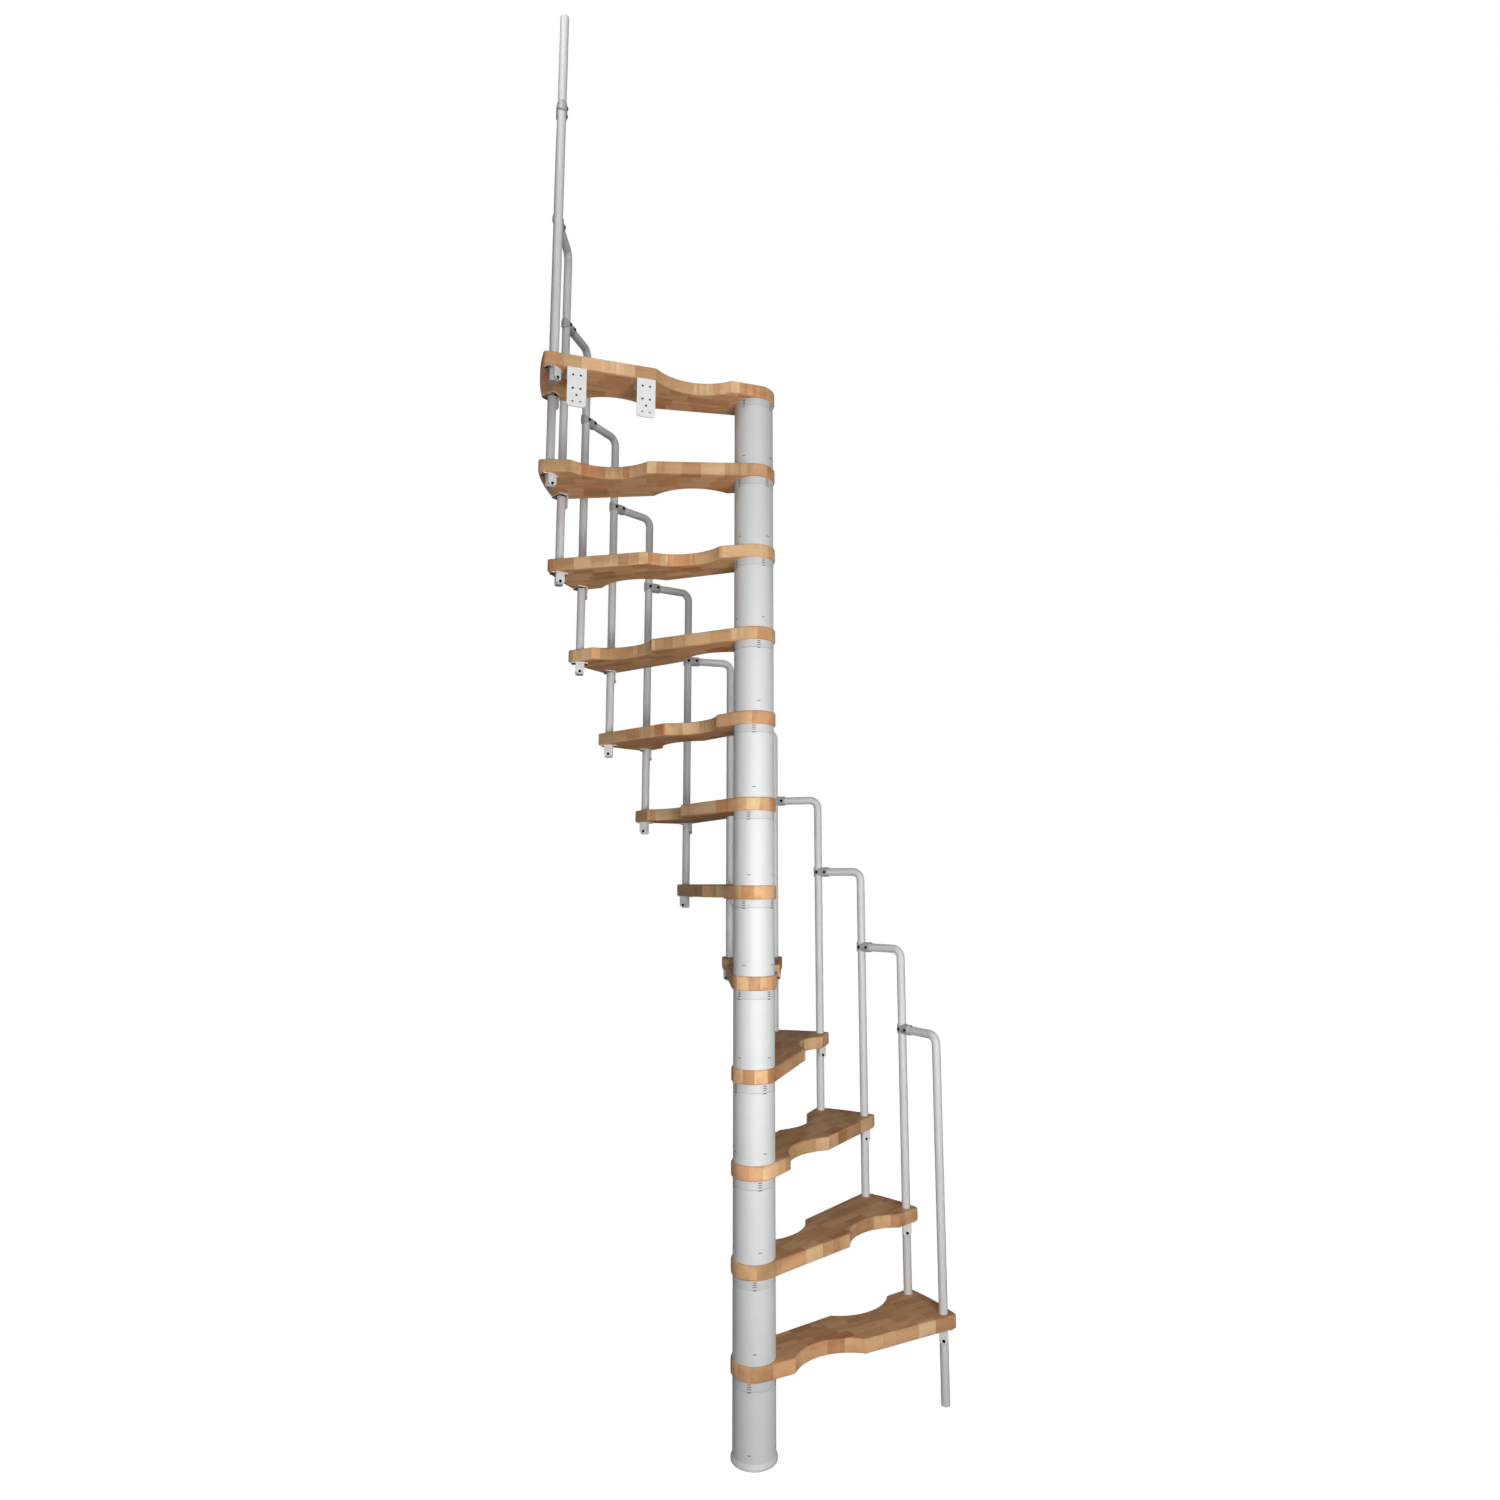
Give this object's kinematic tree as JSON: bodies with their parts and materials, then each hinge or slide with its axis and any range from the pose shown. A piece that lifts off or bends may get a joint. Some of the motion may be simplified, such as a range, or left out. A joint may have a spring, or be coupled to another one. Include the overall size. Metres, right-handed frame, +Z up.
{
  "type": "space-saving winding staircase",
  "caption": "Space-saving winding staircase: cut-out timber treads on a column of stacked tubes, with bent posts whose arms join up into a stepped handrail.",
  "frame": {"origin": "on the column axis, at the underside of the foot collar, on the lower floor", "axes": "+Z up the column axis; the exit edge of the top tread lies along X at its -Y side, where the upper floor begins; seen from above the flight climbs anticlockwise from +X round to -X"},
  "size_m": [1.1834, 0.6517, 3.77],
  "materials": {
    "beech": "finger-jointed beech, clear satin lacquer",
    "powder_coat": "light silver-grey powder coat, satin",
    "bracket_steel": "light grey painted sheet steel"
  },
  "bodies": {
    "root": {"foot_collar": "powder_coat", "column_tube_01": "powder_coat", "column_tube_02": "powder_coat", "column_tube_03": "powder_coat", "column_tube_04": "powder_coat", "column_tube_05": "powder_coat", "column_tube_06": "powder_coat", "column_tube_07": "powder_coat", "column_tube_08": "powder_coat", "column_tube_09": "powder_coat", "column_tube_10": "powder_coat", "column_tube_11": "powder_coat", "column_tube_12": "powder_coat", "tread_01": "beech", "tread_02": "beech", "tread_03": "beech", "tread_04": "beech", "tread_05": "beech", "tread_06": "beech", "tread_07": "beech", "tread_08": "beech", "tread_09": "beech", "tread_10": "beech", "tread_11": "beech", "tread_12": "beech", "post_01": "powder_coat", "post_02": "powder_coat", "post_03": "powder_coat", "post_04": "powder_coat", "post_05": "powder_coat", "post_06": "powder_coat", "post_07": "powder_coat", "post_08": "powder_coat", "post_09": "powder_coat", "post_10": "powder_coat", "post_11": "powder_coat", "post_12": "powder_coat", "post_13": "powder_coat", "tread_brackets": "bracket_steel", "rail_clamps": "powder_coat", "landing_bracket_inner": "bracket_steel", "landing_bracket_outer": "bracket_steel"}
  },
  "joints": []
}
